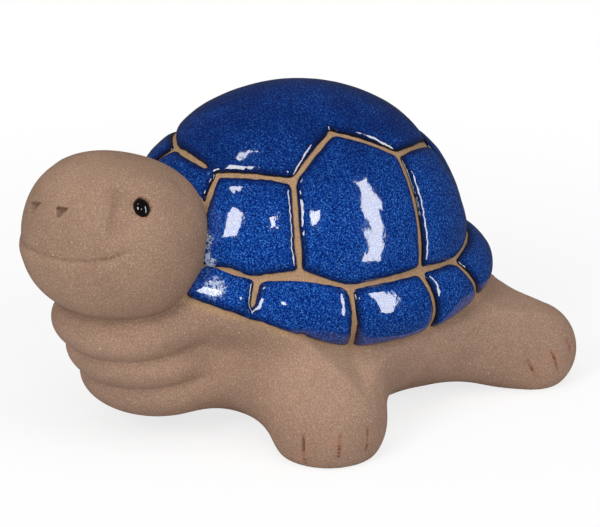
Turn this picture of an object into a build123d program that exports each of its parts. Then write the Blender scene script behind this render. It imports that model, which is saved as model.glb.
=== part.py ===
from build123d import *
from math import asin, cos, degrees, radians, sin
import os

# A turtle figurine of fired brown clay, all in millimetres. It faces -Y, its left side
# is +X, and it stands on Z = 0. The shell is a clay dome on a clay rim. Both carry
# raised islands of thick glaze, parted by grooves of bare clay, and glazed beads are the eyes.

# Shell dome, measured over the glaze
dome_half_width = 60.5
dome_half_length = 69.0
dome_half_height = 66.5
dome_height = 53.5
dome_setback = -2.5
shell_tilt = 4.7

# Shell rim, a flat ellipsoid round the foot of the dome, measured over the glaze
rim_half_width = 65.4
rim_half_length = 82.5
rim_half_thickness = 30.0
rim_height = 48.5
rim_setback = -1.6

# Glaze islands and the grooves between them
dome_glaze_thickness = 2.4
rim_glaze_thickness = 3.0
groove_width = 2.6
dome_corner_radius = 3.0
rim_corner_radius = 7.0
glaze_edge_share = 0.85
skin_gap = 0.8

# Belly and chest
belly_half_width = 59.0
belly_half_length = 70.5
belly_half_height = 35.5
belly_height = 29.7
belly_setback = 1.0

# Three rolls of skin under the chin, each one step back and down from the last
roll_half_width = 30.0
roll_half_length = 28.5
roll_half_height = 14.6
roll_count = 3
top_roll_side = 3.8
top_roll_reach = 76.0
top_roll_height = 44.8
roll_step_side = 1.4
roll_step_back = 6.6
roll_step_down = 12.4

# Head, turned a little to the turtle's left
head_half_width = 33.4
head_half_length = 33.8
head_half_height = 29.2
head_side = 5.4
head_reach = 83.5
head_height = 77.7
head_turn = 13.5
head_tilt = 5.5

# Eyes, as angles from the middle of the face
eye_half_width = 3.1
eye_half_height = 3.8
eye_half_depth = 2.0
eye_sink = 0.7
eye_turn = 68.3
eye_lift = 31.3

# Nostrils, pressed in with a pointed tool
nostril_width = 3.2
nostril_height = 3.4
nostril_depth = 1.4
nostril_turn = 12.5
nostril_lift = 22.4

# Mouth line, a shallow curved groove
mouth_width = 1.0
mouth_depth = 1.0
mouth_curve_radius = 90.0
mouth_drop = 2.5
mouth_half_span = 30.0

# Front legs, from a round shoulder to a round paw
front_shoulder_side = 33.0
front_shoulder_reach = 19.5
front_shoulder_height = 33.0
front_shoulder_radius = 24.0
front_paw_side = 57.5
front_paw_reach = 25.8
front_paw_height = 11.6
front_paw_radius = 21.4

# Rear legs, stretched out behind
rear_hip_side = 34.0
rear_hip_back = 42.7
rear_hip_height = 27.2
rear_hip_radius = 21.6
rear_paw_side = 47.5
rear_paw_back = 75.2
rear_paw_height = 12.9
rear_paw_radius = 18.3

# Where each leg runs softly into the belly
leg_blend_radius = 10.0

# Toe slits on the paws. Their headings, the step from one to the next and their lean are angles
toe_slit_width = 0.9
toe_slit_depth = 1.3
toe_slit_length = 8.0
toe_slits_per_paw = 3
front_toe_heading = 65.5
front_toe_step = 33.0
front_toe_height = 6.0
front_toe_lean = 2.0
rear_toe_heading = 84.0
rear_toe_step = 29.0
rear_toe_height = 9.5
rear_toe_lean = 25.0

# Reach of cutting tools past the surfaces that they cut
overrun = 4.0

# Where grooves meet on the left of the dome: heading from the front towards the left, and
# elevation, both in degrees as seen from the middle of the dome
left_corners = {
    "front": (25, 38.5),
    "flank front": (57.5, 39.5),
    "flank peak": (77.5, 58.5),
    "flank back": (111, 46.5),
    "rear": (148, 44),
    "front foot": (27, 11),
    "first foot": (47.5, 7),
    "flank front foot": (62, 10),
    "second foot": (77.5, 4.5),
    "flank back foot": (105, 7),
    "third foot": (127.5, 5),
    "rear foot": (152, 8.5),
}

# The right side mirrors the left, but the front island leans over to that side
right_corners = {name: (-turn, lift) for name, (turn, lift) in left_corners.items()}
right_corners["front"] = (-10, 42)
right_corners["front foot"] = (-38, 9.5)

# The grooves on one side, and those that cross the middle
side_lines = (
    ("front", "flank front"),
    ("flank front", "flank peak"),
    ("flank peak", "flank back"),
    ("flank back", "rear"),
    ("front foot", "first foot"),
    ("first foot", "flank front foot"),
    ("flank front foot", "second foot"),
    ("second foot", "flank back foot"),
    ("flank back foot", "third foot"),
    ("third foot", "rear foot"),
    ("front", "front foot"),
    ("flank front", "flank front foot"),
    ("flank back", "flank back foot"),
    ("rear", "rear foot"),
)
middle_lines = ("front", "rear", "front foot", "rear foot")

# A heading and elevation inside each island of the dome
dome_islands = {
    "glaze_top": (0, 88),
    "glaze_front": (-5, 25),
    "glaze_rear": (180, 28),
    "glaze_left_flank_1": (43, 24),
    "glaze_left_flank_2": (84, 30),
    "glaze_left_flank_3": (128, 26),
    "glaze_right_flank_1": (-43, 24),
    "glaze_right_flank_2": (-84, 30),
    "glaze_right_flank_3": (-128, 26),
}

# Corners along the top and the foot of the glaze on the left of the rim, from the front to
# the rear, as headings and elevations seen from the middle of the rim
rim_tops = ((0, 33), (50, 26.5), (63.5, 29.5), (77.5, 21), (102, 24.5), (119, 24.5), (180, 29))
rim_feet = ((0, 11), (50, 1), (64, -8), (80, -21), (108, -16.5), (130, -3), (180, -4))

# The grooves across the rim, as places in the two rows of corners, and the islands between
rim_crossings = (0, 1, 3, 4, 5, 6)


def heading(turn, lift):
    """Unit vector at a heading from the front towards the left, and an elevation."""
    turn, lift = radians(turn), radians(lift)
    return Vector(sin(turn) * cos(lift), -cos(turn) * cos(lift), sin(lift))


def ball(radius):
    """A sphere whose poles lie fore and aft and whose seam lies underneath."""
    return Rot(0, 90, 0) * Rot(90, 0, 0) * Sphere(radius)


def ellipsoid(half_width, half_length, half_height):
    """A unit ball stretched to three half sizes."""
    return scale(ball(1), by=(half_width, half_length, half_height))


def limb(start, end, start_radius, end_radius):
    """Two balls and the cone that touches both, as one turned solid from start to end."""
    length = (end - start).length
    lean = degrees(asin((start_radius - end_radius) / length))
    lower = CenterArc((0, 0), start_radius, -90, 90 + lean)
    upper = CenterArc((0, length), end_radius, lean, 90 - lean)
    side = Line(lower @ 1, upper @ 0)
    spine = Line(upper @ 1, lower @ 0)
    profile = make_face([lower, side, upper, spine])
    turned = revolve(Plane.XZ * profile, Axis.Z)
    return Plane(origin=start, z_dir=end - start).location * turned


def place_dome(shape):
    """Stretch a shape made on the round dome to the oval dome and tilt it into place."""
    long_share = dome_half_length / dome_half_width
    tall_share = dome_half_height / dome_half_width
    oval = scale(shape, by=(1, long_share, tall_share))
    return Pos(0, dome_setback, dome_height) * Rot(-shell_tilt, 0, 0) * oval


def place_rim(shape):
    """Stretch a shape made on the round rim to the flat oval rim and tilt it into place."""
    long_share = rim_half_length / rim_half_width
    thick_share = rim_half_thickness / rim_half_width
    oval = scale(shape, by=(1, long_share, thick_share))
    return Pos(0, rim_setback, rim_height) * Rot(-shell_tilt, 0, 0) * oval


def groove(radius, thickness, start, end):
    """A slab that cuts the glaze on a ball along the great circle between two corners."""
    inner = radius - thickness - overrun
    outer = radius + overrun
    middle = (start + end).normalized()
    outline = Wire.make_polygon(
        [start * inner, start * outer, middle * (outer + 2 * overrun), end * outer, end * inner]
    )
    return extrude(Face(outline), amount=groove_width / 2, dir=start.cross(end).normalized(), both=True)


def groove_end(radius, thickness, corner):
    """A round peg that ends the grooves neatly where they meet."""
    reach = thickness + 2 * overrun
    peg = Cylinder(groove_width / 2, reach, align=(Align.CENTER, Align.CENTER, Align.MIN))
    return Plane(origin=corner * (radius - thickness - overrun), z_dir=corner).location * peg


def rounded(island, radius, thickness, corner_radius):
    """Round an island's upright corners, then the edge of its outer face."""
    upright = [
        edge for edge in island.edges()
        if abs(edge.start_point().length - edge.end_point().length) > thickness / 2
    ]
    island = island.fillet(corner_radius, upright)
    outer_edges = [
        edge for edge in island.edges()
        if all(radius - edge.position_at(t).length < thickness / 100 for t in (0, 0.5, 1))
    ]
    return island.fillet(thickness * glaze_edge_share, outer_edges)


def cut_islands(radius, thickness, lines, targets, corner_radius):
    """Cut the glaze on a ball along lines between corners, and round each wanted island."""
    layer = ball(radius) - ball(radius - thickness)
    cuts = [groove(radius, thickness, start, end) for start, end in lines]
    ends = {tuple(corner): corner for line in lines for corner in line}
    cuts += [groove_end(radius, thickness, corner) for corner in ends.values()]
    islands = (layer - cuts).solids()
    glaze = {}
    for name, target in targets.items():
        island = min(islands, key=lambda solid: (solid.center() - target * radius).length)
        glaze[name] = rounded(island, radius, thickness, corner_radius)
    return glaze


def make_dome_glaze():
    """The nine islands of glaze on the dome."""
    left = {name: heading(*angles) for name, angles in left_corners.items()}
    right = {name: heading(*angles) for name, angles in right_corners.items()}
    lines = [(side[start], side[end]) for side in (left, right) for start, end in side_lines]
    lines += [(left[name], right[name]) for name in middle_lines]
    targets = {name: heading(*angles) for name, angles in dome_islands.items()}
    islands = cut_islands(dome_half_width, dome_glaze_thickness, lines, targets, dome_corner_radius)
    return {name: place_dome(island) for name, island in islands.items()}


def make_rim_glaze():
    """The ten islands of glaze on the rim, five on each side."""
    lines, targets = [], {}
    for side, sign in (("left", 1), ("right", -1)):
        tops = [heading(sign * turn, lift) for turn, lift in rim_tops]
        feet = [heading(sign * turn, lift) for turn, lift in rim_feet]
        lines += list(zip(tops, tops[1:])) + list(zip(feet, feet[1:]))
        lines += [(tops[place], feet[place]) for place in rim_crossings]
        for number, (start, end) in enumerate(zip(rim_crossings, rim_crossings[1:]), 1):
            corners = (tops[start], tops[end], feet[start], feet[end])
            targets[f"glaze_{side}_rim_{number}"] = sum(corners, Vector()).normalized()
    islands = cut_islands(rim_half_width, rim_glaze_thickness, lines, targets, rim_corner_radius)
    return {name: place_rim(island) for name, island in islands.items()}


head_place = Pos(head_side, -head_reach, head_height) * Rot(0, 0, head_turn) * Rot(-head_tilt, 0, 0)


def head_solid(growth):
    """The head in its place, as a smooth egg that may be grown or shrunk by a clearance."""
    sizes = (head_half_width + growth, head_half_length + growth, head_half_height + growth)
    return head_place * ellipsoid(*sizes)


def on_head(turn, lift):
    """Where a plane, facing outwards with Y upwards, touches the head at a heading and elevation."""
    way = heading(turn, lift)
    a, b, c = head_half_width, head_half_length, head_half_height
    point = way / ((way.X / a) ** 2 + (way.Y / b) ** 2 + (way.Z / c) ** 2) ** 0.5
    normal = Vector(point.X / a**2, point.Y / b**2, point.Z / c**2)
    sideways = Vector(0, 0, 1).cross(normal)
    return head_place * Plane(origin=point, x_dir=sideways, z_dir=normal).location


def make_eye(sign):
    """An oval bead of black glaze, more than half sunk in the head."""
    bead = ellipsoid(eye_half_width, eye_half_height, eye_half_depth)
    return on_head(sign * eye_turn, eye_lift) * Pos(0, 0, -eye_sink) * bead


def make_nostril(sign):
    """A three-sided prick in the snout, wide at the top and pointed below."""
    top = nostril_height / 3
    outline = Polygon(
        (-nostril_width / 2, top), (0, top - nostril_height), (nostril_width / 2, top), align=None
    )
    pit = extrude(outline, amount=-2 * nostril_depth)
    return on_head(sign * nostril_turn, nostril_lift) * Pos(0, 0, nostril_depth) * pit


def make_mouth():
    """A curved strip just under the surface of the face, cut as the mouth line."""
    skin = head_solid(overrun) - head_solid(-mouth_depth)
    deep = 2 * head_half_length
    ring = Cylinder(mouth_curve_radius + mouth_width / 2, deep)
    ring = ring - Cylinder(mouth_curve_radius - mouth_width / 2, deep)
    ring = Pos(0, -head_half_length, mouth_curve_radius - mouth_drop) * Rot(90, 0, 0) * ring
    window = Pos(0, -head_half_length, 0) * Box(2 * mouth_half_span, deep, 2 * head_half_height)
    return skin & (head_place * (ring & window))


def front_paw_centre(sign):
    """Middle of a front paw, on the left for 1 and on the right for -1."""
    return Vector(sign * front_paw_side, -front_paw_reach, front_paw_height)


def rear_paw_centre(sign):
    """Middle of a rear paw, on the left for 1 and on the right for -1."""
    return Vector(sign * rear_paw_side, rear_paw_back, rear_paw_height)


def make_toe_slits(centre, radius, height, direction, step, lean):
    """Short slits between the toes of one paw, about a heading, each leaning in the paw's skin."""
    middle = height + toe_slit_length / 2
    reach = (radius**2 - (middle - centre.Z) ** 2) ** 0.5
    slit = Box(toe_slit_width, 2 * toe_slit_depth, toe_slit_length)
    slit = Pos(0, -reach, 0) * Rot(0, -lean, 0) * slit
    slits = []
    for number in range(toe_slits_per_paw):
        turn = direction + (number - (toe_slits_per_paw - 1) / 2) * step
        slits.append(Pos(centre.X, centre.Y, middle) * Rot(0, 0, turn) * slit)
    return slits


def make_paw_slits(sign):
    """The toe slits of the front and the rear paw on one side."""
    front = make_toe_slits(
        front_paw_centre(sign),
        front_paw_radius,
        front_toe_height,
        sign * front_toe_heading,
        sign * front_toe_step,
        sign * front_toe_lean,
    )
    rear = make_toe_slits(
        rear_paw_centre(sign),
        rear_paw_radius,
        rear_toe_height,
        sign * rear_toe_heading,
        sign * rear_toe_step,
        sign * rear_toe_lean,
    )
    return front + rear


def make_belly():
    """The rounded underside of the turtle, from its chest to its tail end."""
    belly = ellipsoid(belly_half_width, belly_half_length, belly_half_height)
    return Pos(0, belly_setback, belly_height) * belly


def make_dome_core():
    """The clay of the dome, under its glaze."""
    core = ball(dome_half_width - dome_glaze_thickness)
    return place_dome(split(core, bisect_by=Plane.XY, keep=Keep.TOP))


def make_rim_core():
    """The clay of the rim, under its glaze."""
    return place_rim(ball(rim_half_width - rim_glaze_thickness))


def make_limbs(growth=0):
    """The four legs, each a solid that may be grown by a clearance."""
    limbs = []
    for sign in (1, -1):
        shoulder = Vector(sign * front_shoulder_side, -front_shoulder_reach, front_shoulder_height)
        paw = front_paw_centre(sign)
        limbs.append(limb(shoulder, paw, front_shoulder_radius + growth, front_paw_radius + growth))
        hip = Vector(sign * rear_hip_side, rear_hip_back, rear_hip_height)
        limbs.append(limb(hip, rear_paw_centre(sign), rear_hip_radius + growth, rear_paw_radius + growth))
    return limbs


def make_underbody():
    """The belly and the four legs, each leg blended into the belly along its seam."""
    underbody = make_belly()
    for leg in make_limbs():
        joined = underbody + leg
        seam = new_edges(underbody, leg, combined=joined)
        underbody = joined.fillet(leg_blend_radius, seam)
    return underbody


def make_neck_and_head(growth=0):
    """The rolls of the neck and the head, each a solid that may be grown by a clearance."""
    solids = []
    for number in range(roll_count):
        roll = ellipsoid(roll_half_width + growth, roll_half_length + growth, roll_half_height + growth)
        side = top_roll_side - number * roll_step_side
        back = -top_roll_reach + number * roll_step_back
        solids.append(Pos(side, back, top_roll_height - number * roll_step_down) * roll)
    return solids + [head_solid(growth)]


def make_body():
    """The clay casting: dome, rim, belly, legs, neck rolls and head in one piece."""
    body = make_underbody() + make_rim_core() + make_dome_core()
    for solid in make_neck_and_head():
        body = body + solid
    body = split(body, bisect_by=Plane.XY, keep=Keep.TOP)
    for sign in (1, -1):
        body = body - make_eye(sign) - make_nostril(sign) - make_paw_slits(sign)
    return body - make_mouth()


def clear_of(island, solids):
    """Cut an island of glaze back where the clay of the body rises through it."""
    for solid in solids:
        island = island - solid
    return max(island.solids(), key=lambda solid: solid.volume)


pieces = {"clay_body": make_body()}
clay_above = make_neck_and_head(skin_gap) + [make_rim_core()]
clay_below = make_neck_and_head(skin_gap) + make_limbs(skin_gap)
clay_below += [make_underbody(), make_dome_core()]
for name, island in make_dome_glaze().items():
    pieces[name] = clear_of(island, clay_above)
for name, island in make_rim_glaze().items():
    pieces[name] = clear_of(island, clay_below)
pieces["left_eye"] = make_eye(1)
pieces["right_eye"] = make_eye(-1)

# The origin is the middle of the box that holds the whole figurine, on the ground
extents = [piece.bounding_box() for piece in pieces.values()]
middle_x = (min(e.min.X for e in extents) + max(e.max.X for e in extents)) / 2
middle_y = (min(e.min.Y for e in extents) + max(e.max.Y for e in extents)) / 2
os.makedirs("parts", exist_ok=True)
for name, piece in pieces.items():
    export_step(Pos(-middle_x, -middle_y, 0) * piece, f"parts/{name}.step")
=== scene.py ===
import bmesh
import bpy
import numpy as np
from mathutils import Matrix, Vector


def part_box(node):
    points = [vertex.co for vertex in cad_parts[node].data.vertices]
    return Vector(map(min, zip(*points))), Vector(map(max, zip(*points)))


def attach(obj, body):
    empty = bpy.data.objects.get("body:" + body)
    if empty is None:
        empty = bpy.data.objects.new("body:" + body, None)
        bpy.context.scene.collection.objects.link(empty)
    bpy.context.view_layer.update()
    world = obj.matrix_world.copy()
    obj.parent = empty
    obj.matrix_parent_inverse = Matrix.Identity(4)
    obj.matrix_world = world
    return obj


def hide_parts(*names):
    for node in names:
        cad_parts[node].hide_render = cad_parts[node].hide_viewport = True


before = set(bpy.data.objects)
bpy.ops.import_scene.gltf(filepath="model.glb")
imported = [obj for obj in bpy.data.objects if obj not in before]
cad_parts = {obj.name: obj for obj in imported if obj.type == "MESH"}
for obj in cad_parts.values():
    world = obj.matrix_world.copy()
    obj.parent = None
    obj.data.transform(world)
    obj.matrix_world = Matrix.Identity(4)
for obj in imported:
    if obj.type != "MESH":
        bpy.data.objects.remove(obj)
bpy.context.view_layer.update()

# Sizes are in millimetres and angles in degrees. The turtle faces -Y, its left side is +X,
# and it stands on Z = 0. Meshes are written in metres, moved along Y to fit the frame.
MM = 0.001

# Shell, measured over the glaze
dome_half_sizes = (61.0, 70.9, 66.4)
dome_centre = (0.0, -3.2, 53.5)
rim_half_sizes = (65.4, 82.5, 30.0)
rim_centre = (0.0, -1.6, 48.5)
shell_tilt = 4.7
dome_glaze = 2.75
rim_glaze = 3.2

# How far under the rim's middle the dome ends
dome_drop = 8.0

# Belly, neck rolls and head
belly_half_sizes = (59.0, 70.5, 35.5)
belly_centre = (0.0, 1.0, 29.7)
roll_half_sizes = (30.0, 28.5, 14.6)
top_roll_centre = (3.8, -76.0, 44.8)
roll_step = (-1.4, 6.0, -12.4)
roll_count = 3
head_half_sizes = (33.4, 33.0, 29.5)
head_centre = (6.0, -82.6, 77.1)
head_turn = 13.5
head_tilt = 16.0
head_squareness = 2.3

# Legs, each from a round shoulder or hip to a round paw
shoulder, shoulder_radius = (33.0, -19.5, 33.0), 24.0
front_paw, front_paw_radius = (57.48, -25.8, 11.6), 21.4
hip, hip_radius = (34.0, 42.7, 27.2), 21.6
rear_paw, rear_paw_radius = (47.5, 75.2, 12.9), 18.3

# How softly the forms of the clay run into each other
shell_blend = 3.0
leg_blend = 16.0
roll_blend = 0.5
neck_blend = 8.0
head_blend = 0.9

# Face, in headings and elevations on the head. Its middle lies a little to the right
face_middle = -3.7

# Mouth, as a line whose elevation rises from the middle to its ends. It tapers before its
# end and runs out past it, and is sharpest from the second of two headings on
mouth_lift = -14.7
mouth_rise = 15.3
mouth_end = 60.0
mouth_taper = 9.0
mouth_runout = 5.0
mouth_sharp_turns = (22.0, 44.0)
mouth_depth = 0.9
mouth_half_width = 0.55
lip_height = 0.5
lip_width = 3.0

# Hollow between snout and cheek, in front of each eye, and the brow over the eye. Each fades
# in and out over an angle at its ends
hollow_turn = 50.3
hollow_lifts = (2.0, 47.0)
hollow_fades = (14.0, 12.0)
hollow_depth = 3.6
hollow_half_width = 3.0
brow_lift = 46.0
brow_turns = (56.0, 108.0)
brow_fade = 20.0
brow_height = 1.2
brow_half_width = 4.4

# Nostrils: three corners of each prick
nostrils = (
    ((4.9, 18.9), (7.9, 11.2), (13.0, 19.6)),
    ((-11.0, 17.7), (-17.4, 8.2), (-23.4, 15.4)),
)
nostril_depth = 2.0
nostril_slope_width = 0.55
nostril_spread = 0.3

# Toe slits: heading, lowest and highest place, and lean in shares of their height
front_slits = ((32.0, 1.6, 14.0, 0.02), (67.5, 5.8, 14.0, 0.04), (97.5, 6.6, 15.2, 0.03))
rear_slits = ((54.0, 7.6, 15.4, -0.42), (84.0, 9.8, 18.0, -0.36), (110.5, 15.6, 20.2, -0.30))
slit_depth = 1.3
slit_half_width = 0.42
slit_fade = 1.4
paw_reach = 30.0

# Eyes, as beads sunk in sockets that are a hair wider. A socket's wall takes up its last
# share of width, and nothing is cut far behind the bead
eye_half_sizes = (2.75, 1.9, 3.3)
eye_sink = 0.7
eye_grid = (30, 60)
socket_gap = 0.22
socket_floor_share = 0.93
socket_reach = 5.0

# Mesh of the clay: rings and points round each rough ball, balls along a limb, the grain,
# how near to fine features it is divided twice, and how its lower edge rounds to the ground
ball_grid = (46, 96)
limb_balls = 9
coarse_step = 1.45
divided_within = (2.0, 0.9)
floor_rounding = 0.7

# Pulling points to the skin: how far apart the slope is taken, the least slope squared that
# counts, and the longest move in one step
slope_reach = 0.08
least_slope = 0.2
longest_pull = 3.0

# Colour on the clay: stains tan round the glaze and reddish round slits and eyes, and painted
# shade, dark in slits, nostrils and mouth, and a little darker over the head
halo_from_shell = (0.6, 3.0)
halo_over_foot = (-2.6, -0.6)
slit_blush_width = 3.4
eye_blush = 0.7
eye_blush_within = (0.3, 2.2)
nostril_painted_shade = 0.45
mouth_painted_shade = 0.3
mouth_painted_shade_runout = 2.0
painted_shade_depth = 3.5
# How far out from the head its painted shade reaches
head_shade_reach = 4.0

# Islands of glaze
groove_width = 1.85
dome_corner_blend = 1.6
rim_corner_blend = 2.6
run_overlap = 1.5
pillow_height = 1.75
pillow_width = 4.2
pillow_power = 2.1
pillow_sink = 0.6
crown_height = 1.0
crown_width = 7.5
waver = 0.16
fine_waver = 0.10
surface_waver = 0.03
waver_size = 17.0
fine_waver_size = 5.0
surface_waver_size = 11.0

# Mesh of an island: points round it, rings from its middle to its edge, how much the rings
# crowd at the edge, and where rings lie on its underside
dome_grid = (260, 40)
rim_grid = (220, 36)
ring_crowding = 1.7
underside_shares = (0.985, 0.9, 0.6, 0.25)

# Search for an island's edge: first and last angle from its middle in radians, and steps
edge_search = (0.004, 1.35, 420)

# Where grooves meet on the left of the dome, as heading from the front and elevation
left_corners = {
    "front": (25, 38.5),
    "flank front": (57.5, 39.5),
    "flank peak": (77.5, 58.5),
    "flank back": (111, 46.5),
    "rear": (148, 44),
    "front foot": (27, 11),
    "first foot": (47.5, 7),
    "flank front foot": (62, 10),
    "second foot": (77.5, 4.5),
    "flank back foot": (105, 7),
    "third foot": (127.5, 5),
    "rear foot": (152, 8.5),
}
right_corners = {name: (-turn, lift) for name, (turn, lift) in left_corners.items()}
right_corners["front"] = (-10, 42)
right_corners["front foot"] = (-38, 9.5)

# The corners round each island of the flank
flank_outlines = {
    "flank_1": ("front", "flank front", "flank front foot", "first foot", "front foot"),
    "flank_2": ("flank front", "flank peak", "flank back", "flank back foot", "second foot",
                "flank front foot"),
    "flank_3": ("flank back", "rear", "rear foot", "third foot", "flank back foot"),
}

# Corners along the top and the foot of the glaze on the rim, and where grooves cross it
rim_tops = ((0, 33), (50, 26.5), (63.5, 29.5), (77.5, 21), (102, 24.5), (119, 24.5), (180, 29))
rim_feet = ((0, 20), (50, -1), (64, -14), (80, -29), (108, -25), (130, -10), (180, -4))
rim_crossings = (0, 1, 3, 4, 5, 6)

# Legs stay within a slack of the bare shell, and from this far over the glaze's foot
# downwards they may stand out more and more
foot_cover = 1.3
foot_slack = 0.1
foot_swell = 0.5

# Spots where glaze has run across a groove: heading, elevation and half width
dome_runs = ((21.0, 39.0, 2.6), (31.5, 10.4, 4.2))
rim_runs = ((50.0, 3.0, 2.2), (35.0, 29.0, 4.2))

# Spots where the glaze has crawled and turned white: heading, elevation and half width
dome_crawls = ((29.5, 17.0, 4.0), (32.0, 11.0, 3.4))
rim_crawls = ((38.5, 17.0, 4.2),)

# Camera, as it stood for the photograph
camera_turn = 56.96
camera_lift = 20.29
camera_distance = 757.5
camera_target = (0.44, -0.70, 48.21)
image_width = 600
focal_pixels = 1978.5
sensor_width = 36.0

# Softboxes as seen from the turtle: heading, elevation, lean of the top towards the rear,
# width, height, brightness, and whether they show in the glaze and light the clay
lamps = {
    "left_softbox": (23.0, 32.0, 0.0, 430.0, 560.0, 12.0, True, True),
    "right_strip": (122.0, 19.0, 17.0, 260.0, 1500.0, 11.0, True, False),
    "small_lamp": (71.0, 35.0, 0.0, 170.0, 220.0, 14.0, True, True),
    "top_softbox": (4.0, 66.0, 0.0, 130.0, 240.0, 11.0, True, True),
    "left_fill": (15.0, 50.0, 0.0, 800.0, 800.0, 0.9, False, True),
    "right_fill": (115.0, 38.0, 0.0, 800.0, 800.0, 2.8, False, True),
    "top_fill": (60.0, 72.0, 0.0, 900.0, 900.0, 2.2, False, True),
}
lamp_distance = 1500.0
ambient = 0.33
mirrored_ambient = 0.05
floor_size = 6000.0
floor_white_share = 0.77
floor_white_from = (140.0, 420.0)

# Colours, in linear light
colours = {
    "clay": (0.345, 0.216, 0.150),
    "clay cloud": (0.290, 0.180, 0.126),
    "clay by glaze": (0.380, 0.235, 0.118),
    # Painted shade over the head
    "clay head shade": (0.150, 0.098, 0.052),
    "clay dark grain": (0.190, 0.112, 0.076),
    "clay light grain": (0.500, 0.345, 0.250),
    "clay patch": (0.240, 0.130, 0.085),
    "clay blush": (0.360, 0.150, 0.095),
    # Painted shade in slits, nostrils and mouth
    "clay crease shade": (0.10, 0.034, 0.022),
    "fine grog": (0.62, 0.48, 0.37),
    "coarse grog": (0.74, 0.60, 0.47),
    "dark speck": (0.09, 0.05, 0.035),
    "glaze": (0.0006, 0.007, 0.085),
    "glaze grain": (0.0016, 0.054, 0.330),
    "glaze flock": (0.0006, 0.011, 0.110),
    "glaze spark": (0.080, 0.270, 0.620),
    # Painted shade at the crown of the dome
    "glaze crown shade": (0.0006, 0.007, 0.065),
    # Painted shade over the islands' rounded edges
    "glaze border shade": (0.0008, 0.005, 0.040),
    "glaze edge": (0.005, 0.004, 0.004),
    "glaze crawled": (0.45, 0.52, 0.66),
    "bead": (0.002, 0.002, 0.002),
    "bead cloud": (0.006, 0.004, 0.003),
    "floor": (0.9, 0.9, 0.9),
    "white": (1.0, 1.0, 1.0),
}


def heading(turn, lift):
    """Unit vectors at headings from the front towards the left, and elevations, in degrees:
    (sin turn cos lift, -cos turn cos lift, sin lift)."""
    turn, lift = np.radians(turn), np.radians(lift)
    return np.stack([np.sin(turn) * np.cos(lift), -np.cos(turn) * np.cos(lift), np.sin(lift)
                     + 0 * turn], -1)


def length_of(vectors):
    """The lengths of an array of vectors."""
    return np.sqrt((vectors ** 2).sum(-1))


def unit(vectors):
    """Vectors brought to length one."""
    return vectors / length_of(vectors)[..., None]


def run_together(first, second, width):
    """The lesser of two distances, rounded where they differ by less than a width:
    b + (a - b) h - width h (1 - h), with h running from 0 to 1 over that width."""
    share = np.clip(0.5 + 0.5 * (second - first) / width, 0, 1)
    return second + (first - second) * share - width * share * (1 - share)


def fade(value, start, end):
    """A smooth step from 0 at start to 1 at end."""
    share = np.clip((value - start) / (end - start), 0, 1)
    return share * share * (3 - 2 * share)


def ripple(points, size, seed):
    """A smooth wavering value between about -1 and 1: the mean of sines along seven fixed
    slanting directions, each with a wave a little shorter than the last."""
    steps = np.arange(7)
    slants = unit(np.stack([np.sin(2.1 * steps + seed), np.cos(3.7 * steps + 2 * seed),
                            np.sin(5.3 * steps + 0.5 + seed)], -1))
    waves = (1 + 0.23 * steps) * 2 * np.pi / size
    return np.sin(points @ (slants * waves[:, None]).T + 4 * seed + steps).sum(-1) / 3.5


class Oval:
    """A ball stretched to three half sizes, tilted nose up, turned to the left, and placed.
    Seen from the side it is as square as the curve x^p + z^p = 1, where p of 2 is round."""

    def __init__(self, centre, half_sizes, tilt=0.0, turn=0.0, squareness=2.0):
        tilt, turn = np.radians(-tilt), np.radians(turn)
        tilted = np.array([[1, 0, 0], [0, np.cos(tilt), -np.sin(tilt)],
                           [0, np.sin(tilt), np.cos(tilt)]])
        turned = np.array([[np.cos(turn), -np.sin(turn), 0], [np.sin(turn), np.cos(turn), 0],
                           [0, 0, 1]])
        self.centre = np.array(centre, float)
        self.half_sizes = np.array(half_sizes, float)
        self.axes = turned @ tilted
        self.squareness = squareness

    def reach(self, within):
        """The squared-off length of a vector in the unit ball."""
        level = length_of(within[..., :2]) ** self.squareness
        return (level + np.abs(within[..., 2]) ** self.squareness) ** (1 / self.squareness)

    def inside(self, points):
        """Points as seen from within the unstretched unit ball."""
        return (points - self.centre) @ self.axes / self.half_sizes

    def distance(self, points):
        """About how far points lie outside: k (k - 1) / g, where k is the length within the
        unit ball and g is the length once more divided by the half sizes."""
        within = self.inside(points)
        far = self.reach(within)
        return far * (far - 1) / np.maximum(length_of(within / self.half_sizes), 1e-9)

    def surface(self, directions, rise=0.0):
        """The points on the skin at directions of the unit ball, raised square to the skin."""
        normals = unit(directions / self.half_sizes)
        local = directions * self.half_sizes / self.reach(directions)[..., None]
        local = local + normals * np.asarray(rise)[..., None]
        return local @ self.axes.T + self.centre

    def angles(self, points):
        """Headings and elevations of points, within the unit ball."""
        ways = unit(self.inside(points))
        return np.degrees(np.arctan2(ways[..., 0], -ways[..., 1])), np.degrees(np.arcsin(ways[..., 2]))


def core_of(half_sizes, centre, glaze):
    """The clay under a layer of glaze on part of the shell."""
    shrink = 1 - glaze / half_sizes[0]
    return Oval(centre, np.array(half_sizes) * shrink, shell_tilt)


dome = core_of(dome_half_sizes, dome_centre, dome_glaze)
rim = core_of(rim_half_sizes, rim_centre, rim_glaze)
belly = Oval(belly_centre, belly_half_sizes)
head = Oval(head_centre, head_half_sizes, head_tilt, head_turn, head_squareness)
rolls = [Oval(np.array(top_roll_centre) + number * np.array(roll_step), roll_half_sizes)
         for number in range(roll_count)]
limbs = ((shoulder, front_paw, shoulder_radius, front_paw_radius),
         (hip, rear_paw, hip_radius, rear_paw_radius))

# The frame's rear edge is the rear paws' heel, which gives the move along Y
frame_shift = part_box("clay_body")[1].y / MM - (rear_paw[1] + rear_paw_radius)


def to_frame(points):
    """Millimetres on the turtle's own axes, to metres in the frame."""
    return (np.asarray(points) + (0, frame_shift, 0)) * MM


def from_frame(corner):
    """A corner in the frame, in metres, to millimetres on the turtle's own axes."""
    return np.array(corner) / MM - (0, frame_shift, 0)


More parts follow.
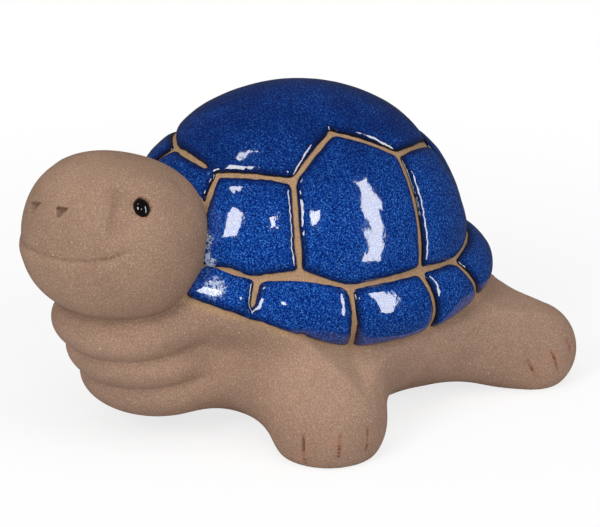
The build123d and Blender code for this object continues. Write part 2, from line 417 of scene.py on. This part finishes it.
def eye_bead(name):
    """An eye's flat oval bead, sunk in the head and facing out. The left one lies where the
    packed one does, and the right one is its mirror image across the middle of the face."""
    low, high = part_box("left_eye")
    turn, lift = head.angles((from_frame(low) + from_frame(high)) / 2)
    way = heading(turn if name == "left_eye" else 2 * face_middle - turn, lift)
    out = unit((way / head.half_sizes) @ head.axes.T)
    side = unit(np.cross((0, 0, 1), out))
    bead = Oval(head.surface(way) - eye_sink * out, eye_half_sizes)
    bead.axes = np.stack([side, out, np.cross(side, out)], -1)
    return bead


eye_beads = {name: eye_bead(name) for name in ("left_eye", "right_eye")}


def mirrored(points):
    """Points folded over to the left side."""
    return points * np.where(points[..., :1] < 0, (-1, 1, 1), (1, 1, 1))


def limb_distance(points, start, end, start_radius, end_radius):
    """Distance to a round limb: the distance to the line between two ball centres, less a
    radius that changes evenly along it."""
    start, along = np.array(start), np.array(end) - np.array(start)
    share = np.clip((points - start) @ along / (along @ along), 0, 1)
    gap = length_of(points - start - share[..., None] * along)
    return gap - (start_radius + (end_radius - start_radius) * share)


def off_middle(turn):
    """How far headings lie to either side of the middle of the face."""
    return np.abs(turn - face_middle)


def above_mouth(turn, lift):
    """How far above the mouth line, in mm along the head. The line's elevation is its middle
    one plus a rise that grows with the cube of the heading."""
    line = mouth_lift + mouth_rise * (off_middle(turn) / mouth_end) ** 3
    return np.radians(lift - line) * head_half_sizes[2]


def mouth_cut(turn, lift):
    """Depth of the mouth line, sharper towards its ends, in a soft dent over a low lip."""
    above = above_mouth(turn, lift)
    shown = 1 - fade(off_middle(turn), mouth_end - mouth_taper, mouth_end + mouth_runout)
    sharp = 0.5 + 0.5 * fade(off_middle(turn), *mouth_sharp_turns)
    cut = mouth_depth * sharp * np.exp(-(above / mouth_half_width) ** 2)
    dent = 0.5 * mouth_depth * np.exp(-(above / lip_width) ** 2)
    lip = lip_height * np.exp(-((above + lip_width) / lip_width) ** 2)
    return shown * (cut + dent - lip)


def brow_cut(turn, lift):
    """Depth of the upright hollow in front of each eye, less the height of the brow over it:
    bells across two lines, faded at their ends."""
    side = off_middle(turn)
    across = np.radians(side - hollow_turn) * head_half_sizes[0] * np.cos(np.radians(lift))
    shown = fade(lift, hollow_lifts[0], hollow_lifts[0] + hollow_fades[0])
    shown = shown * (1 - fade(lift, hollow_lifts[1] - hollow_fades[1], hollow_lifts[1]))
    hollow = hollow_depth * shown * np.exp(-(across / hollow_half_width) ** 2)
    over = np.radians(lift - brow_lift) * head_half_sizes[2]
    brow = fade(side, brow_turns[0], brow_turns[0] + brow_fade)
    brow = brow * (1 - fade(side, brow_turns[1] - brow_fade, brow_turns[1]))
    return hollow - brow_height * brow * np.exp(-(over / brow_half_width) ** 2)


def on_face(turn, lift):
    """Headings and elevations as places in mm on a flat face."""
    turn, lift = np.radians(turn), np.radians(lift)
    return np.stack([turn * head_half_sizes[0] * np.cos(lift), lift * head_half_sizes[2]], -1)


def nostril_cut(turn, lift):
    """Depth of the pricks: the least distance to the three sides of a triangle, as a steep
    slope that runs down to a flat bottom."""
    places, deepest = on_face(turn, lift), 0.0
    for corners in nostrils:
        spots = on_face(*np.array(corners, float).T)
        sides = unit(np.roll(spots, -1, 0) - spots)
        inward = np.stack([-sides[:, 1], sides[:, 0]], -1)
        if (inward[0] @ (spots[2] - spots[0])) < 0:
            inward = -inward
        depth = np.min([(places - spot) @ way for spot, way in zip(spots, inward)], 0)
        depth = depth + nostril_spread
        deepest = np.maximum(deepest, np.clip(depth / nostril_slope_width, 0, 1))
    return nostril_depth * deepest


def socket_cut(points):
    """Depth of the eye sockets: over each bead's outline and the gap round it, the depth
    that the bead is sunk plus that of the lower half of a ball stretched like the bead."""
    deepest = 0.0
    for bead in eye_beads.values():
        within = (points - bead.centre) @ bead.axes
        reach = np.array(eye_half_sizes) + socket_gap
        far = np.hypot(within[..., 0] / reach[0], within[..., 2] / reach[2])
        depth = eye_sink + reach[1] * np.sqrt(np.maximum(1 - far ** 2, 0))
        shown = (1 - fade(far, socket_floor_share, 1.0)) * (within[..., 1] > -socket_reach)
        deepest = np.maximum(deepest, depth * shown)
    return deepest


def slit_places(paw, slits):
    """For each toe slit: its paw, outward direction, sideways direction and its numbers."""
    for turn, low, high, lean in slits:
        outward = heading(turn, 0.0)
        yield np.array(paw), outward, np.array([-outward[1], outward[0], 0]), low, high, lean


def toe_slits(points, width):
    """How strongly each point lies in a toe slit, from 0 to 1: a bell across an upright
    plane through the paw, between a lowest and a highest place."""
    points, found = mirrored(points), 0.0
    for paw, slits in ((front_paw, front_slits), (rear_paw, rear_slits)):
        for middle, outward, sideways, low, high, lean in slit_places(paw, slits):
            offset = points - middle
            height = points[..., 2]
            across = offset @ sideways - lean * (height - (low + high) / 2)
            shown = fade(height, low - slit_fade, low + slit_fade)
            shown = shown * (1 - fade(height, high - slit_fade, high + slit_fade))
            near = (offset @ outward > 0) & (length_of(offset) < paw_reach)
            found = np.maximum(found, near * shown * np.exp(-(across / width) ** 2))
    return found


def over_foot(points):
    """How far points lie above the foot of the glaze on the rim, in mm along the rim."""
    turn, lift = rim.angles(points)
    return np.radians(lift - np.interp(np.abs(turn), *np.array(rim_feet).T)) * rim_half_sizes[2]


def clay_skin(points, fine):
    """About the distance from each point to the clay's skin: the soft union of belly, shell
    and legs, kept within the shell above the foot of the glaze, and joined by neck rolls and
    head, then cut by the fine features if they are wanted."""
    folded = mirrored(points)
    shell = np.maximum(dome.distance(points), rim_centre[2] - dome_drop - points[..., 2])
    body = run_together(belly.distance(points), shell, shell_blend)
    body = run_together(body, rim.distance(points), shell_blend)
    for limb in limbs:
        body = run_together(body, limb_distance(folded, *limb), leg_blend)
    skin = run_together(dome.distance(points), rim.distance(points), shell_blend)
    under = np.maximum(foot_cover - over_foot(points), 0)
    body = np.maximum(body, skin - foot_slack - under - foot_swell * under ** 2)
    neck = rolls[0].distance(points)
    for roll in rolls[1:]:
        neck = run_together(neck, roll.distance(points), roll_blend)
    body = run_together(body, neck, neck_blend)
    face = head.distance(points)
    if fine:
        turn, lift = head.angles(points)
        face = face + mouth_cut(turn, lift) + brow_cut(turn, lift) + nostril_cut(turn, lift)
    body = run_together(body, face, head_blend)
    if fine:
        body = body + slit_depth * toe_slits(points, slit_half_width) + socket_cut(points)
    return body


def pulled(points, fine, steps):
    """Points moved along the slope of the skin's distance, a few times, so that it nears zero."""
    for _ in range(steps):
        slope = np.stack([clay_skin(points + slope_reach * side, fine)
                          - clay_skin(points - slope_reach * side, fine)
                          for side in np.eye(3)], -1) / (2 * slope_reach)
        steep = np.maximum((slope ** 2).sum(-1), least_slope)[:, None]
        step = clay_skin(points, fine)[:, None] * slope / steep
        points = points - np.clip(step, -longest_pull, longest_pull)
    return points


def points_of(mesh):
    """A mesh's points as an array."""
    flat = np.empty(len(mesh.vertices) * 3)
    mesh.vertices.foreach_get("co", flat)
    return flat.reshape(-1, 3)


def edges_of(mesh):
    """The pairs of points that a mesh's edges join."""
    flat = np.empty(len(mesh.edges) * 2, int)
    mesh.edges.foreach_get("vertices", flat)
    return flat.reshape(-1, 2)


def relaxed(points, edges):
    """Each point moved half the way to the mean of its neighbours."""
    ends = np.concatenate([edges, edges[:, ::-1]])
    count = np.bincount(ends[:, 0], minlength=len(points))
    mean = np.stack([np.bincount(ends[:, 0], points[ends[:, 1], axis], len(points))
                     for axis in range(3)], -1) / np.maximum(count, 1)[:, None]
    return (points + mean) / 2


def closed_faces(rings, around):
    """Faces of a closed skin whose points are a first pole, rings of points, and a last pole:
    a fan at each pole, and four-sided faces between neighbouring rings."""
    spot = np.arange(around)
    after = (spot + 1) % around
    starts = 1 + around * np.arange(rings - 1)[:, None]
    quads = np.stack([starts + spot, starts + around + spot, starts + around + after,
                      starts + after], -1).reshape(-1, 4)
    last = 1 + around * (rings - 1)
    top = np.stack([0 * spot, 1 + spot, 1 + after], -1)
    bottom = np.stack([0 * spot + last + around, last + after, last + spot], -1)
    return quads.tolist() + top.tolist() + bottom.tolist()


def ball_points(rings, around):
    """Unit directions of a ball's grid: a top pole, rings from top to bottom, a last pole."""
    lifts = np.linspace(90, -90, rings + 2)[1:-1]
    turns = np.arange(around) * 360 / around
    grid = heading(turns[None, :], lifts[:, None] + 0 * turns[None, :]).reshape(-1, 3)
    return np.concatenate([[(0, 0, 1)], grid, [(0, 0, -1)]])


def rough_clay():
    """Overlapping balls and limbs, each a closed grid in headings and elevations, joined into
    one skin of even small faces."""
    ball, faces = ball_points(*ball_grid), closed_faces(*ball_grid)
    shapes = [oval.surface(ball) for oval in (dome, rim, belly, head, *rolls)]
    for start, end, start_radius, end_radius in limbs:
        for side in (1, -1):
            for share in np.linspace(0, 1, limb_balls):
                middle = np.array(start) + share * (np.array(end) - np.array(start))
                radius = start_radius + share * (end_radius - start_radius)
                shapes.append(middle * (side, 1, 1) + radius * ball)
    every = [[corner + number * len(ball) for corner in face]
             for number in range(len(shapes)) for face in faces]
    mesh = bpy.data.meshes.new("rough_clay")
    mesh.from_pydata(np.concatenate(shapes), [], every)
    rough = bpy.data.objects.new("rough_clay", mesh)
    bpy.context.scene.collection.objects.link(rough)
    remesh = rough.modifiers.new("even_faces", "REMESH")
    remesh.mode = "VOXEL"
    remesh.voxel_size = coarse_step
    graph = bpy.context.evaluated_depsgraph_get()
    even = bpy.data.meshes.new_from_object(rough.evaluated_get(graph))
    bpy.data.objects.remove(rough)
    return even


def divided(mesh, wanted):
    """A mesh whose faces are halved each way where all their points are wanted."""
    pairs = edges_of(mesh)
    chosen = np.flatnonzero(wanted[pairs].all(1))
    work = bmesh.new()
    work.from_mesh(mesh)
    work.edges.ensure_lookup_table()
    bmesh.ops.subdivide_edges(work, edges=[work.edges[i] for i in chosen], cuts=1,
                              use_grid_fill=True)
    work.to_mesh(mesh)
    work.free()
    return mesh


def crease_strength(points, width):
    """How near each point lies to a crease between head and neck rolls, from 0 to 1: a bell
    over the gap between the two nearest forms."""
    forms = np.sort([abs(form.distance(points)) for form in (head, *rolls)], axis=0)
    return np.exp(-((forms[1] + forms[0]) / width) ** 2)


def fine_places(points, reach):
    """Which points lie near a fine feature: the mouth, a nostril, an eye, a crease or a slit."""
    turn, lift = head.angles(points)
    on_head = np.abs(head.distance(points)) < 3
    mouth = (off_middle(turn) < mouth_end + 8) & (np.abs(above_mouth(turn, lift)) < reach)
    middles = [np.mean(corners, 0) for corners in nostrils]
    nostril = np.min([np.hypot(turn - side, lift - up) for side, up in middles], 0) < 6 + 2 * reach
    eyes = np.min([bead.distance(points) for bead in eye_beads.values()], 0) < 0.8 * reach
    creases = crease_strength(points, 0.8 + 0.7 * reach) > 0.3
    return on_head & (mouth | nostril) | eyes | creases | (toe_slits(points, 1.2 + reach) > 0.3)


def finished(name, mesh, slot, *replaced):
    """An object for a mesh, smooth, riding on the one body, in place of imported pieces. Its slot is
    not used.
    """
    mesh.shade_smooth()
    piece = bpy.data.objects.new(name, mesh)
    bpy.context.scene.collection.objects.link(piece)
    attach(piece, "root")
    if replaced:
        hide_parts(*replaced)
    return piece


def add_values(mesh, name, values):
    """One number for each point, for a finish to read."""
    layer = mesh.attributes.new(name, "FLOAT", "POINT")
    layer.data.foreach_set("value", np.asarray(values, np.float32))


def make_clay():
    """The clay casting: the rough clay relaxed and pulled to the skin, divided twice near
    fine features, and set flat on the ground."""
    mesh = rough_clay()
    points, edges = pulled(points_of(mesh), False, 4), edges_of(mesh)
    for _ in range(4):
        points = pulled(relaxed(points, edges), False, 2)
    mesh.vertices.foreach_set("co", points.ravel())
    for reach in divided_within:
        mesh = divided(mesh, fine_places(points_of(mesh), reach))
        points = pulled(points_of(mesh), False, 2)
        mesh.vertices.foreach_set("co", points.ravel())
    points = pulled(points, True, 5)
    near_shell = np.minimum(np.abs(dome.distance(points)), np.abs(rim.distance(points)))
    height = points[:, 2]
    points[:, 2] = (height + np.sqrt(height ** 2 + floor_rounding ** 2)) / 2
    mesh.vertices.foreach_set("co", to_frame(points).ravel())
    near_eye = np.min([bead.distance(points) for bead in eye_beads.values()], 0)
    halo = (1 - fade(near_shell, *halo_from_shell)) * fade(over_foot(points), *halo_over_foot)
    add_values(mesh, "halo", halo)
    round_eye = eye_blush * (1 - fade(near_eye, *eye_blush_within))
    add_values(mesh, "blush", np.maximum(toe_slits(points, slit_blush_width), round_eye))
    turn, lift = head.angles(points)
    # Painted shade: darkness in the nostrils, along the mouth line and in the toe slits
    painted_recess_shade = nostril_painted_shade * nostril_cut(turn, lift) / nostril_depth
    line = np.exp(-(above_mouth(turn, lift) / mouth_half_width) ** 2)
    ends = fade(off_middle(turn), mouth_end - mouth_taper, mouth_end + mouth_painted_shade_runout)
    painted_recess_shade = np.maximum(painted_recess_shade, mouth_painted_shade * line * (1 - ends))
    painted_recess_shade = painted_recess_shade * (np.abs(head.distance(points)) < painted_shade_depth)
    add_values(mesh, "crease", np.maximum(painted_recess_shade, toe_slits(points, slit_half_width)))
    # Painted shade: the whole head a little darker, out to a small reach
    add_values(mesh, "head", 1 - fade(head.distance(points), 0.0, head_shade_reach))
    mesh.update()
    return finished("clay_casting", mesh, "clay", "clay_body")


def groove_distance(directions, start, end, half_sizes):
    """Distance in mm along an oval's skin to the groove between two corners: the height over
    the groove's plane, divided by how fast that height grows along the skin. Past the ends
    of the groove it is the straight distance to the nearer end."""
    pole = unit(np.cross(start, end))
    normals = unit(directions / half_sizes)
    steep = pole / half_sizes
    along = steep - (normals @ steep)[..., None] * normals
    level = np.abs(directions @ pole) / np.maximum(length_of(along), 1e-6)
    between = (directions @ np.cross(pole, start) > 0) & (directions @ np.cross(end, pole) > 0)
    ends = [length_of((directions - corner) * half_sizes) for corner in (start, end)]
    return np.where(between, level, np.minimum(*ends))


def within_corners(directions, corners):
    """Whether directions lie within the three corners of a patch, on the same side of each
    of its edges as the patch itself."""
    first, second, third = corners
    side = np.sign(np.cross(first, second) @ third)
    edges = (np.cross(first, second), np.cross(second, third), np.cross(third, first))
    return np.all([side * (directions @ edge) >= 0 for edge in edges], 0)


class Island:
    """A patch of glaze on an oval, with the corners of the grooves round it, the spots
    where it has run across them, and those where it has crawled."""

    def __init__(self, oval, corners, blend, runs, crawls):
        self.oval = oval
        self.corners = [heading(*corner) for corner in corners]
        self.middle = unit(np.sum(self.corners, 0))
        self.blend = blend
        self.runs = runs
        self.crawls = crawls

    def margin(self, directions):
        """How far inside its edge each direction lies: the rounded least distance to the
        grooves round the island, less half a groove. It wavers a little, and grows at runs."""
        least, inner, places = None, False, directions * self.oval.half_sizes
        for start, end in zip(self.corners, self.corners[1:] + self.corners[:1]):
            gap = groove_distance(directions, start, end, self.oval.half_sizes)
            least = gap if least is None else run_together(least, gap, self.blend)
            inner = inner | within_corners(directions, (self.middle, start, end))
        half = groove_width / 2
        for turn, lift, width in self.runs:
            near = length_of(places - heading(turn, lift) * self.oval.half_sizes)
            half = half - (groove_width / 2 + run_overlap) * np.exp(-(near / width) ** 2)
        wavers = waver * ripple(places, waver_size, 1.0)
        wavers = wavers + fine_waver * ripple(places, fine_waver_size, 3.0)
        return np.where(inner, least, -least) - half + wavers

    def edge(self, ways):
        """How far the edge lies from the middle, in radians, along each way: the first place
        where the margin turns negative, found by stepping and then between two steps."""
        far = np.linspace(*edge_search)
        found = self.margin(np.cos(far)[None, :, None] * self.middle
                            + np.sin(far)[None, :, None] * ways[:, None, :])
        first = np.argmax(found < 0, axis=1)
        row = np.arange(len(ways))
        before, after = found[row, first - 1], found[row, first]
        share = before / np.maximum(before - after, 1e-9)
        return far[first - 1] + share * (far[first] - far[first - 1])

    def mesh(self, name, around, rings):
        """A closed pillow. From the middle to the edge, the grid's rings lie at shares
        1 - (1 - v)^c of the way, where c is their crowding. The top rises from the edge as a
        quarter of a squared-off circle and goes on to a low crown, and the underside is sunk
        a little in the clay."""
        middle = self.middle
        aside = unit(np.cross(middle, (0.3, 0.2, 0.93)))
        third = np.cross(middle, aside)
        angle = np.arange(around) * 2 * np.pi / around
        ways = np.cos(angle)[:, None] * aside + np.sin(angle)[:, None] * third
        edge = self.edge(ways)
        top = 1 - (1 - np.arange(1, rings + 1) / rings) ** ring_crowding
        shares = np.concatenate([top, underside_shares])
        reach = shares[:, None] * edge[None, :]
        grid = np.cos(reach)[..., None] * middle + np.sin(reach)[..., None] * ways[None]
        directions = np.concatenate([[middle], grid.reshape(-1, 3), [middle]])
        margin = np.maximum(self.margin(directions), 0)
        slope = np.clip(1 - margin / pillow_width, 0, 1)
        rise = pillow_height * (1 - slope ** pillow_power) ** (1 / pillow_power)
        rise = rise + crown_height * (1 - np.exp(-(margin / crown_width) ** 2))
        places = directions * self.oval.half_sizes
        rise = rise + surface_waver * ripple(places, surface_waver_size, 2.0) * (1 - slope)
        below = np.arange(len(directions)) > rings * around
        rise = np.where(below, -pillow_sink, rise)
        rise[1 + (rings - 1) * around:1 + rings * around] = 0
        mesh = bpy.data.meshes.new(name)
        mesh.from_pydata(to_frame(self.oval.surface(directions, rise)), [],
                         closed_faces(len(shares), around))
        add_values(mesh, "margin", np.where(below, 0, margin))
        near = [length_of(places - heading(turn, lift) * self.oval.half_sizes) / width
                for turn, lift, width in self.crawls]
        add_values(mesh, "crawl", np.exp(-np.min(near, 0) ** 2))
        mesh.update()
        return outward(mesh)


def outward(mesh):
    """A closed mesh with its faces turned to the outside."""
    work = bmesh.new()
    work.from_mesh(mesh)
    bmesh.ops.recalc_face_normals(work, faces=work.faces)
    work.to_mesh(mesh)
    work.free()
    return mesh


def dome_islands():
    """The corners of each island on the dome."""
    both = (("left", left_corners), ("right", right_corners))
    found = {f"glaze_{side}_{name}": [corners[key] for key in keys]
             for side, corners in both for name, keys in flank_outlines.items()}
    ring = ("front", "flank front", "flank peak", "flank back", "rear")
    found["glaze_top"] = ([left_corners[key] for key in ring]
                          + [right_corners[key] for key in reversed(ring)])
    for end in ("front", "rear"):
        found[f"glaze_{end}"] = [left_corners[end], left_corners[f"{end} foot"],
                                 right_corners[f"{end} foot"], right_corners[end]]
    return found


def rim_islands():
    """The corners of each island on the rim, between one crossing groove and the next."""
    found = {}
    for side, sign in (("left", 1), ("right", -1)):
        for number, (start, end) in enumerate(zip(rim_crossings, rim_crossings[1:]), 1):
            round_it = list(rim_tops[start:end + 1]) + list(rim_feet[start:end + 1])[::-1]
            found[f"glaze_{side}_rim_{number}"] = [(sign * turn, lift) for turn, lift in round_it]
    return found


def make_glaze():
    """Every island of glaze."""
    pieces = []
    for name, corners in dome_islands().items():
        island = Island(dome, corners, dome_corner_blend, dome_runs, dome_crawls)
        mesh = island.mesh(name, *dome_grid)
        pieces.append(finished(name + "_pillow", mesh, "blue_glaze", name))
    for name, corners in rim_islands().items():
        island = Island(rim, corners, rim_corner_blend, rim_runs, rim_crawls)
        mesh = island.mesh(name, *rim_grid)
        pieces.append(finished(name + "_pillow", mesh, "blue_glaze", name))
    return pieces


def make_eyes():
    """The two beads, each a closed grid in headings and elevations."""
    pieces = []
    for name, bead in eye_beads.items():
        mesh = bpy.data.meshes.new(name)
        points = to_frame(bead.surface(ball_points(*eye_grid)))
        mesh.from_pydata(points, [], closed_faces(*eye_grid))
        mesh.update()
        pieces.append(finished(name + "_bead", outward(mesh), "black_glaze", name))
    return pieces


class Value:
    """A number in a node tree. An expression on values adds its Math nodes."""

    def __init__(self, nodes, socket):
        self.nodes = nodes
        self.socket = socket

    def maths(self, operation, *numbers):
        """One Math node on numbers or values."""
        return self.nodes.node("ShaderNodeMath", {"operation": operation}, dict(enumerate(numbers)))

    def __add__(self, other):
        return self.maths("ADD", self, other)

    def __sub__(self, other):
        return self.maths("SUBTRACT", self, other)

    def __rsub__(self, other):
        return self.maths("SUBTRACT", other, self)

    def __mul__(self, other):
        return self.maths("MULTIPLY", self, other)

    __radd__ = __add__
    __rmul__ = __mul__

    def step(self, start, end):
        """A smooth step from 0 at start to 1 at end."""
        return self.nodes.node("ShaderNodeMapRange", {"interpolation_type": "SMOOTHSTEP"},
                               {"Value": self, "From Min": start, "From Max": end})


class Nodes:
    """The nodes of a material or of the world."""

    def __init__(self, tree):
        self.tree = tree

    def node(self, kind, settings, sockets, output=0):
        """A new node: its settings first, then the values or links of its sockets."""
        made = self.tree.nodes.new(kind)
        for name, value in settings.items():
            setattr(made, name, value)
        for name, value in sockets.items():
            self.fill(made.inputs[name], value)
        return Value(self, made.outputs[output])

    def fill(self, socket, value):
        """A socket gets a value or a link."""
        if isinstance(value, Value):
            self.tree.links.new(value.socket, socket)
        else:
            socket.default_value = value

    def ray(self, kind):
        """Whether light is looked up for one kind of ray."""
        return self.node("ShaderNodeLightPath", {}, {}, f"Is {kind} Ray")


class Finish(Nodes):
    """A material with one Principled surface."""

    def __init__(self, name, **surface):
        self.material = bpy.data.materials.new(name)
        self.material.use_nodes = True
        super().__init__(self.material.node_tree)
        self.surface = self.tree.nodes["Principled BSDF"]
        self.place = self.node("ShaderNodeTexCoord", {}, {}, "Object")
        for socket, value in surface.items():
            self.set(socket.replace("_", " "), value)

    def set(self, socket, value):
        """A socket of the surface gets a value or a link."""
        self.fill(self.surface.inputs[socket], value)

    def noise(self, size, detail=2.0, rough=0.5):
        """Cloudy noise with spots of about a size, in millimetres."""
        return self.node("ShaderNodeTexNoise", {}, {"Vector": self.place, "Scale": 1 / (size * MM),
                                                    "Detail": detail, "Roughness": rough})

    def specks(self, spacing, radius, share):
        """Round specks, one cell in so many, from 0 outside them to 1 in the middle."""
        sockets = {"Vector": self.place, "Scale": 1 / (spacing * MM)}
        near = self.node("ShaderNodeTexVoronoi", {}, sockets, "Distance")
        cell = self.node("ShaderNodeTexVoronoi", {}, sockets, "Color")
        pick = self.node("ShaderNodeSeparateColor", {}, {"Color": cell}, "Red")
        inside = 1 - near.step(0.4 * radius / spacing, radius / spacing)
        return inside * pick.step(1 - share, 1)

    def height(self):
        """The height over the ground, in millimetres."""
        return self.node("ShaderNodeSeparateXYZ", {}, {0: self.place}, "Z") * (1 / MM)

    def layer(self, name):
        """A number that the mesh carries for each point."""
        return self.node("ShaderNodeAttribute", {"attribute_name": name}, {}, "Fac")

    def mix(self, share, first, second):
        """A colour between two colours."""
        return self.node("ShaderNodeMix", {"data_type": "RGBA"},
                         {"Factor": share, 6: first, 7: second}, 2)

    def bump(self, height, distance):
        """A rough or wavy surface from a height, whose full range is a distance in mm."""
        normal = self.node("ShaderNodeBump", {}, {"Height": height, "Distance": distance * MM,
                                                  "Strength": 1.0}, "Normal")
        self.set("Normal", normal)


def shade(name):
    """A named colour, for a socket."""
    return (*colours[name], 1.0)


def clay_finish():
    """Matt fired clay: warm brown, cloudy and grainy, with fine cream grog and a few dark
    specks, tan where the glaze has drawn from it, reddish round the slits and eyes, a little
    painted shade over the head, and dark painted shade in slits, nostrils and mouth."""
    finish = Finish("fired_clay", Roughness=0.82, Specular_IOR_Level=0.25)
    colour = finish.mix(finish.noise(26, 3).step(0.35, 0.65), shade("clay"), shade("clay cloud"))
    colour = finish.mix(finish.layer("halo") * 0.8, colour, shade("clay by glaze"))
    # Painted shade: the head a little darker
    colour = finish.mix(finish.layer("head") * 0.22, colour, shade("clay head shade"))
    grain, patch = finish.noise(0.6, 4, 0.8), finish.noise(5.0, 3)
    colour = finish.mix(grain.step(0.46, 0.62) * 0.55, colour, shade("clay dark grain"))
    colour = finish.mix((1 - grain.step(0.38, 0.49)) * 0.45, colour, shade("clay light grain"))
    colour = finish.mix(patch.step(0.5, 0.7) * 0.22, colour, shade("clay patch"))
    blush = finish.layer("blush") * finish.noise(3, 2).step(0.40, 0.62)
    colour = finish.mix(blush * 0.5, colour, shade("clay blush"))
    colour = finish.mix(finish.specks(1.3, 0.30, 0.22) * 0.6, colour, shade("fine grog"))
    colour = finish.mix(finish.specks(3.7, 0.40, 0.40) * 0.8, colour, shade("coarse grog"))
    colour = finish.mix(finish.specks(5.4, 0.34, 0.30) * 0.7, colour, shade("dark speck"))
    # Painted shade: dark in the slits, nostrils and mouth
    colour = finish.mix(finish.layer("crease") * 0.85, colour, shade("clay crease shade"))
    finish.set("Base Color", colour)
    finish.bump(finish.noise(0.55, 3, 0.65), 0.10)
    return finish.material


def glaze_finish():
    """Thick cobalt glaze: a deep blue broken by fine lighter and darker grains, with painted
    shade darker at the crown and over each island's rounded edge, almost black in a thin line at
    its edge, milky where it has crawled, and glossy with a faint orange peel."""
    finish = Finish("cobalt_glaze", Roughness=0.06, Specular_IOR_Level=0.7)
    grain, flock = finish.noise(0.62, 4, 0.85), finish.noise(2.6, 4, 0.75)
    colour = finish.mix(grain.step(0.43, 0.55), shade("glaze"), shade("glaze grain"))
    colour = finish.mix(flock.step(0.48, 0.66) * 0.50, colour, shade("glaze flock"))
    colour = finish.mix(grain.step(0.55, 0.63) * 0.90, colour, shade("glaze spark"))
    # Painted shade: the glaze darker towards the top of the dome
    crown = finish.height().step(84, 108) * (finish.noise(22, 2).step(0.30, 0.60) * 0.5 + 0.5)
    colour = finish.mix(crown * 0.65, colour, shade("glaze crown shade"))
    ragged = finish.layer("margin") + (finish.noise(1.1, 3, 0.7) - 0.5) * 1.4
    # Painted shade: a darker band over each island's rounded edge; the thin near-black line at the
    # very edge is the glaze's own colour
    colour = finish.mix((1 - ragged.step(0.4, 3.2)) * 0.8, colour, shade("glaze border shade"))
    colour = finish.mix(1 - ragged.step(0.15, 0.55), colour, shade("glaze edge"))
    white = finish.layer("crawl") * (finish.noise(1.6, 4, 0.8).step(0.44, 0.56) + 0.25)
    colour = finish.mix(white.step(0.35, 0.75) * 0.9, colour, shade("glaze crawled"))
    finish.set("Base Color", colour)
    finish.bump(finish.noise(2.2, 2), 0.03)
    return finish.material


def bead_finish():
    """Glossy black glaze for the eyes, with a faint brown cloud."""
    finish = Finish("black_glaze", Roughness=0.04, Specular_IOR_Level=0.6)
    finish.set("Base Color", finish.mix(finish.noise(1.5), shade("bead"), shade("bead cloud")))
    finish.bump(finish.noise(2.5), 0.015)
    return finish.material


def dress(piece, material):
    """A piece gets one material."""
    piece.data.materials.clear()
    piece.data.materials.append(material)


def make_floor():
    """A pale floor: mostly plain white to the camera, with the rest left to the light so that
    the shadow stays, and all white further out. The glaze doesn't mirror it."""
    half = floor_size * MM / 2
    mesh = bpy.data.meshes.new("floor")
    mesh.from_pydata([(-half, -half, 0), (half, -half, 0), (half, half, 0), (-half, half, 0)], [],
                     [(0, 1, 2, 3)])
    floor = bpy.data.objects.new("floor", mesh)
    bpy.context.scene.collection.objects.link(floor)
    finish = Finish("pale_floor", Roughness=0.9, Specular_IOR_Level=0.0)
    finish.set("Base Color", shade("floor"))
    away = finish.node("ShaderNodeVectorMath", {"operation": "LENGTH"}, {0: finish.place}, "Value")
    away = (away * (1 / MM)).step(*floor_white_from)
    white = away * (1 - floor_white_share) + floor_white_share
    surface = Value(finish, finish.surface.outputs[0])
    plain = finish.node("ShaderNodeEmission", {}, {"Strength": 1.0})
    surface = finish.node("ShaderNodeMixShader", {}, {0: finish.ray("Camera") * white, 1: surface,
                                                      2: plain})
    finish.fill(finish.tree.nodes["Material Output"].inputs["Surface"], surface)
    dress(floor, finish.material)
    floor.visible_glossy = False


def make_world():
    """White where the camera sees past the floor, dim for mirrored light, and a plain pale
    light for the rest."""
    world = bpy.data.worlds.new("studio")
    bpy.context.scene.world = world
    world.use_nodes = True
    nodes = Nodes(world.node_tree)
    strength = (ambient + nodes.ray("Camera") * (1 - ambient)
                + nodes.ray("Glossy") * (mirrored_ambient - ambient))
    background = world.node_tree.nodes["Background"]
    nodes.fill(background.inputs["Color"], shade("white"))
    nodes.fill(background.inputs["Strength"], strength)


def aim(thing, position, target, lean=0.0):
    """Place a lamp or the camera and point it at a target, with its top upwards, or leaning
    by an angle towards larger headings."""
    position, target = to_frame(position), to_frame(target)
    back = unit(position - target)
    side = unit(np.cross((0, 0, 1), back))
    up = np.cross(back, side)
    lean = np.radians(lean)
    side, up = np.cos(lean) * side - np.sin(lean) * up, np.sin(lean) * side + np.cos(lean) * up
    matrix = np.eye(4)
    matrix[:3, :3] = np.stack([side, up, back], -1)
    matrix[:3, 3] = position
    thing.matrix_world = Matrix(matrix)
    bpy.context.scene.collection.objects.link(thing)


def make_lamps():
    """Softboxes on a wide sphere round the turtle. A lamp's power is its brightness times
    its area times pi."""
    for name, (turn, lift, lean, width, height, brightness, shows, lights) in lamps.items():
        light = bpy.data.lights.new(name, "AREA")
        light.shape = "RECTANGLE"
        light.size = width * MM
        light.size_y = height * MM
        light.energy = brightness * np.pi * width * height * MM ** 2
        lamp = bpy.data.objects.new(name, light)
        lamp.visible_glossy = shows
        lamp.visible_diffuse = lights
        position = np.array(camera_target) + lamp_distance * heading(turn, lift)
        aim(lamp, position, camera_target, lean)


def make_camera():
    """The camera, where it stood for the photograph."""
    data = bpy.data.cameras.new("camera")
    data.sensor_width = sensor_width
    data.lens = focal_pixels / image_width * sensor_width
    camera = bpy.data.objects.new("camera", data)
    aim(camera, np.array(camera_target) + camera_distance * heading(camera_turn, camera_lift),
        camera_target)
    bpy.context.scene.camera = camera
    bpy.context.scene.view_settings.view_transform = "Standard"


dress(make_clay(), clay_finish())
glaze = glaze_finish()
for island in make_glaze():
    dress(island, glaze)
beads = bead_finish()
for bead in make_eyes():
    dress(bead, beads)
make_floor()
make_world()
make_lamps()
make_camera()
